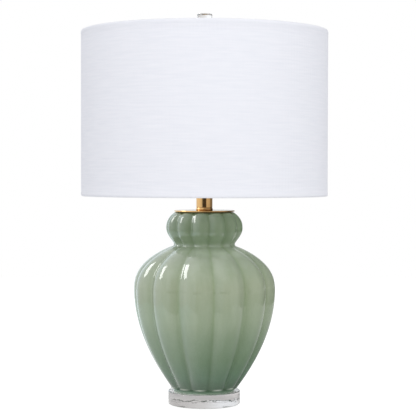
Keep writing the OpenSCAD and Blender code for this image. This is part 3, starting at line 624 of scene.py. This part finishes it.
def fillet(points, at, reach, steps):
    """An open line of points with the corner nearest to a height replaced by a smooth curve."""
    middle = min(range(len(points)), key=lambda i: abs(points[i][1] - at))
    corner = Vector(points[middle])
    first = max(i for i in range(middle) if (Vector(points[i]) - corner).length > reach)
    last = min(i for i in range(middle, len(points)) if (Vector(points[i]) - corner).length > reach)
    start, end = Vector(points[first]), Vector(points[last])
    curve = [start * (1 - t) ** 2 + corner * 2 * t * (1 - t) + end * t ** 2
             for t in (k / steps for k in range(1, steps))]
    return points[:first + 1] + [tuple(p) for p in curve] + points[last:]


def make_gourd():
    """Slip-cast gourd of twelve lobes: glazed outside, hollow, with a recess inside its foot ring."""
    steps_per_lobe = 28
    foot_ring = 3.2 * MM
    foot_ring_r = FOOT_R - 0.6 * MM
    undercut_r = FOOT_R - 1.3 * MM
    bond = 0.04 * MM
    recess_r = 25 * MM
    recess_top = FOOT_Z + 8 * MM
    floor_z = recess_top + 9 * MM
    rod_hole_r = 6.2 * MM
    lip = 1.0 * MM
    groove_round = 0.03
    ring_top = FOOT_Z + foot_ring
    lobes_z = ring_top + 2.2 * MM
    # Height and half height of the painted highlight band on the lobes' crests
    painted_highlight_z, painted_highlight_half = lobes_z + 1.2 * MM, 1.4 * MM
    levels = (eased(lobes_z, BELLY_Z, 54, True, False) + eased(BELLY_Z, WAIST_Z, 34, False, True)
              + eased(WAIST_Z, CROWN_Z, 18, True, False) + eased(CROWN_Z, MOUTH_Z, 16, False, True)
              + [MOUTH_Z])
    wall = []
    for z in levels:
        inset = max(0.0, 1 - (MOUTH_Z - z) / lip) ** 2 * lip * 0.5
        wall.append((crest_r(z) - inset, z))
    wall = fillet(wall, WAIST_Z, 3.2 * MM, 8)
    foot = [(foot_ring_r - 0.5 * MM, FOOT_Z - bond), (foot_ring_r, FOOT_Z + 0.5 * MM),
            (foot_ring_r, ring_top - 0.9 * MM), (foot_ring_r - 0.4 * MM, ring_top - 0.3 * MM),
            (undercut_r, ring_top), (undercut_r, ring_top + 0.5 * MM),
            (undercut_r + 0.5 * MM, ring_top + 1.1 * MM), (wall[0][0] - 0.4 * MM, ring_top + 1.5 * MM)]
    inside_levels = [floor_z + (MOUTH_Z - floor_z) * i / 40 for i in range(41)]
    inside = [(cavity_r(z), z) for z in reversed(inside_levels)]
    under = [(rod_hole_r, floor_z), (rod_hole_r, recess_top), (recess_r, recess_top),
             (recess_r, FOOT_Z - bond)]
    outline = foot + wall + inside + under
    depths = [0.0] * len(foot) + [groove_depth(z) for r, z in wall] + [0.0] * (len(inside) + len(under))
    bm = bmesh.new()
    pool = bm.verts.layers.float.new("pool")
    rim = bm.verts.layers.float.new("rim")
    groove = bm.verts.layers.float.new("groove")
    turn(bm, outline, LOBES * steps_per_lobe, FIRST_CREST, values=(groove, depths))
    # The glaze rounds off the bottom of each groove
    sharp = groove_round ** (LOBE_ROUNDNESS / 2)
    full = (1 + groove_round) ** (LOBE_ROUNDNESS / 2) - sharp
    for v in bm.verts:
        if v[groove] == 0:
            continue
        r = math.hypot(v.co.x, v.co.y)
        angle = math.atan2(v.co.y, v.co.x) - FIRST_CREST
        wave = abs(math.cos(angle * LOBES / 2))
        lobe = ((wave ** 2 + groove_round) ** (LOBE_ROUNDNESS / 2) - sharp) / full
        depth = v[groove] * (1 - lobe)
        v.co.x *= (r - depth) / r
        v.co.y *= (r - depth) / r
        v[pool] = (1 - wave) ** 3
        # The rim layer masks the painted highlight on the crests above the foot ring
        v[rim] = wave ** 3 * max(0.0, 1 - abs(v.co.z - painted_highlight_z) / painted_highlight_half)
    bmesh.ops.recalc_face_normals(bm, faces=bm.faces)
    gourd = piece("gourd", bm, "lamp", "celadon_glaze", ["gourd_body"], crease=60)
    tool = bmesh.new()
    hole_r, hole_depth, seat_r, seat_reach = 5.1 * MM, 16 * MM, 7.3 * MM, 12 * MM
    turn(tool, [(0, -hole_depth), (hole_r, -hole_depth), (hole_r, 0), (seat_r, 0), (seat_r, seat_reach),
                (0, seat_reach)], 48)
    bmesh.ops.transform(tool, matrix=OUTLET, verts=tool.verts)
    cut_away(gourd, tool)
    bore, neck_r, neck, flange_r, flange = 3.25 * MM, 5 * MM, 8 * MM, 7 * MM, 2 * MM
    turned_piece("cord_grommet", [(bore, -neck), (neck_r, -neck), (neck_r, 0), (flange_r, 0),
                 (flange_r, flange), (bore, flange)], "lamp", "black_rubber", ["cord_bushing"], 0.7 * MM, 48,
                 OUTLET)


# Base

def make_base():
    """Clear disc with polished edges, and the bumpers that it stands on."""
    r, low, high = round_size("acrylic_base")
    bevel = 0.8 * MM
    turned_piece("clear_disc", [(0, low), (r - bevel, low), (r, low + bevel), (r, high - bevel),
                 (r - bevel, high), (0, high)], "lamp", "clear_acrylic", ["acrylic_base"], 0.25 * MM, 256)
    count, bumper_r, circle_r, first_angle = 4, 6 * MM, 44 * MM, math.radians(45)
    bond = 0.05 * MM
    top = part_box("bumper_feet")[1].z + bond
    bm = bmesh.new()
    turn(bm, rounded([(0, 0), (bumper_r * 0.7, 0), (bumper_r * 0.95, top * 0.4), (bumper_r, top), (0, top)],
                     0.5 * MM), 40)
    first = bm.verts[:] + bm.edges[:] + bm.faces[:]
    for k in range(1, count):
        bmesh.ops.duplicate(bm, geom=first)
    size = len(bm.verts) // count
    bm.verts.ensure_lookup_table()
    for k in range(count):
        a = first_angle + FULL_TURN / count * k
        bmesh.ops.translate(bm, vec=(circle_r * math.cos(a), circle_r * math.sin(a), 0),
                            verts=bm.verts[k * size:(k + 1) * size])
    piece("bumpers", bm, "lamp", "clear_silicone", ["bumper_feet"])


# Cap and neck

def make_cap():
    """Thin spun cap with a rounded rim and a ring under it that centres it in the mouth."""
    r, spigot_z, top = round_size("brass_cap")
    low = top - 2.2 * MM
    bore = 5.2 * MM
    spigot_r = cavity_r(MOUTH_Z) - 0.3 * MM
    spigot_bore = spigot_r - 1.5 * MM
    turned_piece("cap_plate", [
        (bore, low), (spigot_bore, low), (spigot_bore, spigot_z), (spigot_r, spigot_z), (spigot_r, low),
        (r, low), (r, top), (bore, top)], "lamp", "aged_brass", ["brass_cap"], 0.9 * MM, 192)


def make_neck():
    """Collar, one inch tube and the check ring on top of it."""
    r, low, high = round_size("neck_collar")
    bore, shoulder_r = 10.5 * MM, r - 0.9 * MM
    height = high - low
    turned_piece("collar", [
        (bore, low), (r - 0.5 * MM, low), (r, low + 0.25 * height), (r, low + 0.55 * height),
        (shoulder_r, low + 0.72 * height), (shoulder_r, high), (bore, high)],
        "lamp", "aged_brass", ["neck_collar"], 0.5 * MM, 128)
    r, low, high = round_size("neck_tube")
    bore = r - 1.2 * MM
    turned_piece("tube", [(bore, low), (r, low), (r, high), (bore, high)],
                 "lamp", "aged_brass", ["neck_tube"], 0.2 * MM, 128)


# Lampholder and bulb

def make_holder():
    """Stamped brass cup and shell with rolled beads, and the fluted knob of the switch."""
    r, low, high = round_size("holder_cap")
    hub_r, hub_top, thick = 8 * MM, low + 8 * MM, 0.7 * MM
    rim_low = high - 6 * MM
    bore = 4.9 * MM
    turned_piece("holder_cup", [
        (bore, low), (hub_r, low), (hub_r, hub_top), (hub_r + 2.5 * MM, hub_top + 0.8 * MM),
        (r - 3 * MM, rim_low - 3 * MM), (r, rim_low), (r, high), (r - thick, high), (r - thick, rim_low),
        (r - 4.2 * MM, rim_low - 2 * MM), (hub_r + 1 * MM, hub_top + 1.6 * MM), (bore, hub_top + 1.2 * MM)],
        "lamp", "brass", ["holder_cap"], 0.5 * MM, 96)
    r, low, high = round_size("holder_shell")
    inner, bead_r = r - thick, r + 0.6 * MM
    shell = turned_piece("holder_tube", [
        (inner, low), (r, low), (r, low + 14 * MM), (bead_r, low + 15 * MM), (bead_r, low + 16 * MM),
        (r, low + 17 * MM), (r, high - 7 * MM), (bead_r, high - 6 * MM), (bead_r, high - 5 * MM),
        (r, high - 4 * MM), (r, high - 1.2 * MM), (bead_r, high - 0.8 * MM), (bead_r, high), (inner, high)],
        "lamp", "brass", ["holder_shell"], 0.4 * MM, 96)
    tool = bmesh.new()
    shaft_hole_r, reach = 2.4 * MM, 30 * MM
    turn(tool, [(0, 0), (shaft_hole_r, 0), (shaft_hole_r, reach), (0, reach)], 32)
    shaft_z = low + 9.35 * MM
    to_front = Matrix.Translation((0, 0, shaft_z)) @ Matrix.Rotation(math.pi / 2, 4, "X")
    bmesh.ops.transform(tool, matrix=to_front, verts=tool.verts)
    cut_away(shell, tool)
    make_knob(to_front)


def make_knob(to_front):
    """Moulded knob with sixteen flutes and a dished end."""
    flutes, depth = 16, 0.45 * MM
    knob_r, length = 5.5 * MM, 13 * MM
    bore_r, bore_h = 1.63 * MM, 6.8 * MM
    back_y = -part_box("switch_knob")[1].y
    grip = [1.6 * MM, 2.4 * MM, 3.2 * MM, length - 2.4 * MM, length - 1.5 * MM]
    profile = [(bore_r, 0), (knob_r - 0.9 * MM, 0), (knob_r - 0.25 * MM, 0.3 * MM), (knob_r, 0.9 * MM)]
    profile += [(knob_r, z) for z in grip]
    profile += [(knob_r - 0.25 * MM, length - 0.4 * MM), (knob_r - 1 * MM, length),
                (knob_r - 1.8 * MM, length), (knob_r - 2.6 * MM, length - 0.5 * MM), (0, length - 0.7 * MM),
                (0, bore_h), (bore_r, bore_h)]
    bm = bmesh.new()
    turn(bm, profile, flutes * 10)
    for v in bm.verts:
        r = math.hypot(v.co.x, v.co.y)
        if r > knob_r - 0.1 * MM and grip[0] < v.co.z < grip[-1]:
            around = max(0.0, math.cos(flutes * math.atan2(v.co.y, v.co.x))) ** 1.5
            share = min(1.0, (v.co.z - grip[0]) / (0.8 * MM))
            v.co.x *= 1 - depth * around * share / r
            v.co.y *= 1 - depth * around * share / r
    bmesh.ops.transform(bm, matrix=to_front @ Matrix.Translation((0, 0, back_y)), verts=bm.verts)
    piece("knob", bm, "switch", "black_phenolic", ["switch_knob"], 40)


def make_bulb_cap():
    """Screw cap of thin metal with a rolled thread."""
    r, low, top = round_size("bulb_cap")
    root = r - 0.9 * MM
    glass_low = top - 5 * MM
    pitch, turns = 3.25 * MM, 3
    bm = bmesh.new()
    ridge_foot, thread_z = root - 0.2 * MM, low + 3.3 * MM
    ridge = [(ridge_foot, -1.3), (r, -0.5), (r, 0), (r, 0.5), (ridge_foot, 1.3)]
    coil(bm, [(radius, thread_z + rise * MM) for radius, rise in ridge], pitch, turns, 64)
    turn(bm, rounded([
        (r - 4 * MM, low), (r - 2.2 * MM, low + 1.5 * MM), (root, low + 2.2 * MM), (root, top - 7.3 * MM),
        (r, top - 6.4 * MM), (r, top), (r - 0.67 * MM, top), (r - 0.67 * MM, glass_low - 0.5 * MM),
        (r - 1.9 * MM, glass_low - 2 * MM), (r - 1.9 * MM, low + 2.5 * MM), (r - 4 * MM, low + 1 * MM)],
        0.3 * MM), 96)
    piece("screw_cap", bm, "bulb", "bulb_aluminium", ["bulb_cap"], 50)


def make_bulb():
    """Frosted globe bulb."""
    r, low, top = round_size("bulb_glass")
    globe_z = top - r
    neck_r = 12.3 * MM
    neck_top = low + 5 * MM
    thick = 0.8 * MM
    rows = 24
    outside = [(neck_r, low)]
    for i in range(rows):
        z = mix(neck_top, globe_z, i / rows)
        outside.append((mix(neck_r, r, swell((globe_z - z) / (globe_z - neck_top), 2, 1.3)), z))
    for i in range(rows + 1):
        a = math.pi / 2 * i / rows
        outside.append((r * math.cos(a) if i < rows else 0, globe_z + r * math.sin(a)))
    inside = []
    for i in range(rows + 1):
        a = math.pi / 2 * (rows - i) / rows
        inside.append(((r - thick) * math.cos(a) if i else 0, globe_z + (r - thick) * math.sin(a)))
    inside += [(x - thick, z) for x, z in reversed(outside[:rows + 1])]
    bm = bmesh.new()
    turn(bm, outside + inside, 96, closed=False)
    piece("globe", bm, "bulb", "frosted_glass", ["bulb_glass"], 60)


# Harp

def arc(x, z, radius, start, end, steps):
    """Points of an arc in the plane of the harp."""
    angles = (math.radians(mix(start, end, k / steps)) for k in range(steps + 1))
    return [(x + radius * math.cos(a), z + radius * math.sin(a)) for a in angles]


def take_in(bm, part):
    """Moves the mesh of a part into another mesh."""
    mesh = bpy.data.meshes.new("part")
    part.to_mesh(mesh)
    part.free()
    bm.from_mesh(mesh)


def make_harp():
    """Harp of bent brass wire on two sockets, its sliding sleeves, and the swivel stud on its pad."""
    wire_r = 1.8 * MM
    low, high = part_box("harp_wire")
    foot_z, pad_top = low.z, high.z
    pad_h, pad_r = 4.8 * MM, 7 * MM
    leg_x, side_x = 29 * MM, 57 * MM
    leg_top, side_z, turn_z = foot_z + 31 * MM, foot_z + 109.9 * MM, foot_z + 147.5 * MM
    out_r, back_r, turn_r = 30 * MM, 55 * MM, 51 * MM
    half = [(leg_x, foot_z + 10 * MM)]
    half += arc(leg_x + out_r, leg_top, out_r, 180, 155, 8)
    half += arc(side_x - back_r, side_z, back_r, -25, 0, 10)
    half += arc(side_x - turn_r, turn_z, turn_r, 0, 90, 20)
    path = half + [(-x, z) for x, z in reversed(half)]
    data = bpy.data.curves.new("harp_path", "CURVE")
    data.dimensions = "3D"
    data.bevel_depth = wire_r
    data.bevel_resolution = 6
    data.use_fill_caps = True
    line = data.splines.new("POLY")
    line.points.add(len(path) - 1)
    for point, (x, z) in zip(line.points, path):
        point.co = (x, 0, z, 1)
    path_obj = bpy.data.objects.new("harp_path", data)
    bpy.context.scene.collection.objects.link(path_obj)
    mesh = bpy.data.meshes.new_from_object(path_obj.evaluated_get(bpy.context.evaluated_depsgraph_get()))
    bpy.data.objects.remove(path_obj)
    bm = bmesh.new()
    for side in (-1, 1):
        socket = bmesh.new()
        turn(socket, rounded([
            (3.2 * MM, foot_z), (4 * MM, foot_z), (4 * MM, foot_z + 12 * MM), (3.2 * MM, foot_z + 13 * MM),
            (0, foot_z + 13 * MM), (0, foot_z + 10.6 * MM), (3.2 * MM, foot_z + 10.6 * MM)], 0.3 * MM), 40)
        bmesh.ops.translate(socket, vec=(side * leg_x, 0, 0), verts=socket.verts)
        take_in(bm, socket)
    pad = bmesh.new()
    bore, pad_low = 3.16 * MM, pad_top - pad_h
    turn(pad, rounded([(bore, pad_low), (pad_r, pad_low), (pad_r, pad_top), (bore, pad_top)], 0.6 * MM), 64)
    take_in(bm, pad)
    bm.from_mesh(mesh)
    piece("harp", bm, "harp", "brass", ["harp_wire"], 40)
    for name, node, side in (("left_sleeve", "sleeve_left", -1), ("right_sleeve", "sleeve_right", 1)):
        r, low_z, high_z = round_size(node)
        bore, grip_r = r - 0.9 * MM, r - 0.25 * MM
        turned_piece(name, [
            (bore, low_z), (r, low_z), (r, low_z + 1.2 * MM), (grip_r, low_z + 1.7 * MM),
            (grip_r, high_z - 1.7 * MM), (r, high_z - 1.2 * MM), (r, high_z), (bore, high_z)],
            name, "brass", [node], 0.25 * MM, 48, Matrix.Translation((side * leg_x, 0, 0)))
    make_stud()


def make_stud():
    """Swivel stud: a rivet head under the harp's pad, a round seat for the shade and a fine thread above."""
    seat_r, low, top = round_size("swivel_stud")
    stud_r, core_r = 3.1 * MM, 2.75 * MM
    seat_top = top - 12 * MM
    seat_low = seat_top - 2 * MM
    rivet_r, rivet_t = 4.5 * MM, 1.4 * MM
    thread_z = seat_top + 2.2 * MM
    pitch, turns = 0.94 * MM, 9
    bm = bmesh.new()
    turn(bm, rounded([
        (0, low), (rivet_r, low), (rivet_r, low + rivet_t), (stud_r, low + rivet_t), (stud_r, seat_low),
        (seat_r, seat_low), (seat_r, seat_top), (stud_r, seat_top), (stud_r, thread_z - 0.6 * MM),
        (core_r, thread_z - 0.2 * MM), (core_r, top - 0.4 * MM), (core_r - 0.4 * MM, top), (0, top)],
        0.25 * MM), 64)
    coil(bm, [(core_r - 0.1 * MM, thread_z - 0.4 * MM), (stud_r, thread_z - 0.06 * MM),
              (stud_r, thread_z + 0.06 * MM), (core_r - 0.1 * MM, thread_z + 0.4 * MM)], pitch, turns, 40)
    piece("stud", bm, "stud", "brass", ["swivel_stud"], 40)


# Shade

def hem_path():
    """The linen's way from the inner top hem over the top ring, down the drum, under the bottom ring and up
    the inner bottom hem, as (radius, height) points of its middle."""
    low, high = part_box("shade_fabric")
    half, fold_steps, rows = 0.3 * MM, 8, 22
    outer = high.x - half
    fold_r = 2.4 * MM
    inner = outer - 2 * fold_r
    hem = 8 * MM
    top_c, bottom_c = high.z - half - fold_r, low.z + half + fold_r
    seat = 0.25 * MM
    ledge = 5.2 * MM
    path = [(inner, high.z - hem + (top_c - high.z + hem) * i / 3) for i in range(3)]
    folds = [math.pi * i / fold_steps for i in range(fold_steps + 1)]
    path += [(outer - fold_r - fold_r * math.cos(a), top_c + fold_r * math.sin(a)) for a in folds]
    body_low, body_high = low.z + ledge + 0.7 * MM, high.z - ledge - 0.7 * MM
    path += [(outer, high.z - ledge), (outer - seat, body_high)]
    path += [(outer - seat, mix(body_high, body_low, i / rows)) for i in range(1, rows)]
    path += [(outer - seat, body_low), (outer, low.z + ledge)]
    path += [(outer - fold_r + fold_r * math.cos(a), bottom_c - fold_r * math.sin(a)) for a in folds]
    path += [(inner, bottom_c + (low.z + hem - bottom_c) * i / 3) for i in range(1, 4)]
    return path


def make_shade():
    """One strip of linen rolled into a drum, lapped at the back, with hems folded in over both rings."""
    path = hem_path()
    runs = [0.0]
    for a, b in zip(path, path[1:]):
        runs.append(runs[-1] + math.hypot(b[0] - a[0], b[1] - a[1]))
    radius = max(r for r, z in path)
    lap, lap_rise, lap_run = 14 * MM, 0.65 * MM, 4 * MM
    length = FULL_TURN * radius + lap
    columns = 372
    seam = math.radians(103)
    hem_rows, notch_rows = 8, 6
    bm = bmesh.new()
    bmesh.ops.create_grid(bm, x_segments=columns, y_segments=len(path) - 1, size=0.5)
    cut = bm.loops.layers.uv.new("cut")
    place = {}
    for v in bm.verts:
        u = v.co.x + 0.5
        row = round((v.co.y + 0.5) * (len(path) - 1))
        place[v] = (u, row)
        along = u * length
        lift = lap_rise * max(0.0, min(1.0, (along - (length - lap - lap_run)) / lap_run))
        r, z = path[row]
        a = seam + along / radius
        outer_side = 1 if hem_rows <= row < len(path) - hem_rows else -1
        r += lift * outer_side
        v.co = Vector((r * math.cos(a), r * math.sin(a), z))
    for face in bm.faces:
        for loop in face.loops:
            u, row = place[loop.vert]
            loop[cut].uv = (u * length, runs[row])
    # The inner top hem is slit where the spider's arms come through
    slit = math.radians(0.9)
    arms = [math.radians(degrees) for degrees in (90, 210, 330)]
    notched = []
    for face in bm.faces:
        if max(place[v][1] for v in face.verts) > notch_rows:
            continue
        centre = face.calc_center_median()
        a = math.atan2(centre.y, centre.x)
        if any(abs((a - arm + math.pi) % FULL_TURN - math.pi) < slit for arm in arms):
            notched.append(face)
    bmesh.ops.delete(bm, geom=notched, context="FACES")
    shade = piece("linen_drum", bm, "shade", "white_linen", ["shade_fabric"], 60)
    thickness = shade.modifiers.new("thickness", "SOLIDIFY")
    thickness.thickness = 0.5 * MM
    thickness.offset = 0
    # The photographed glaze mirrors the studio through the shade's place, so gloss doesn't see the shade
    for part in (shade, frame["nodes"]["shade_lining"], frame["nodes"]["shade_spider"],
                 frame["nodes"]["shade_bottom_ring"]):
        part.visible_glossy = False


# Finial

def make_finial():
    """Aged brass foot and stem under a thick clear disc."""
    r, low, high = round_size("finial_foot")
    foot_r, stem_r, bore, bore_top, peg_r = 7 * MM, 4 * MM, 3.2 * MM, low + 12 * MM, 3 * MM
    stem_z, disc_z = low + 14 * MM, low + 29 * MM
    turned_piece("finial_stem", [
        (bore, low), (foot_r, low), (foot_r, low + 2 * MM), (foot_r - 0.8 * MM, low + 2.8 * MM),
        (foot_r - 0.8 * MM, stem_z - 5 * MM), (foot_r, stem_z - 4.2 * MM), (foot_r, stem_z - 3 * MM),
        (stem_r, stem_z), (stem_r, disc_z - 2.5 * MM), (stem_r + 2.5 * MM, disc_z),
        (peg_r, disc_z), (peg_r, high), (0, high), (0, bore_top), (bore, bore_top)],
        "finial", "aged_brass", ["finial_foot"], 0.3 * MM, 96)
    r, low, high = round_size("finial_disc")
    bevel, bore, bore_top = 1.2 * MM, 3.05 * MM, low + 6.1 * MM
    turned_piece("finial_clear", [
        (bore, low), (r - bevel, low), (r, low + bevel), (r, high - bevel), (r - bevel, high), (0, high),
        (0, bore_top), (bore, bore_top)], "finial", "clear_acrylic", ["finial_disc"], 0.2 * MM, 160)


def dress_cad_nodes():
    """Gives each CAD node that stays its finish."""
    slots = {part["node"]: part["material_slot"] for part in frame["record"]["subparts"]}
    for name, obj in frame["nodes"].items():
        obj.data.materials.clear()
        obj.data.materials.append(MATERIALS[slots[name]])


make_camera()
make_studio()
dress_cad_nodes()
make_gourd()
make_base()
make_cap()
make_neck()
make_holder()
make_bulb_cap()
make_bulb()
make_harp()
make_shade()
make_finial()
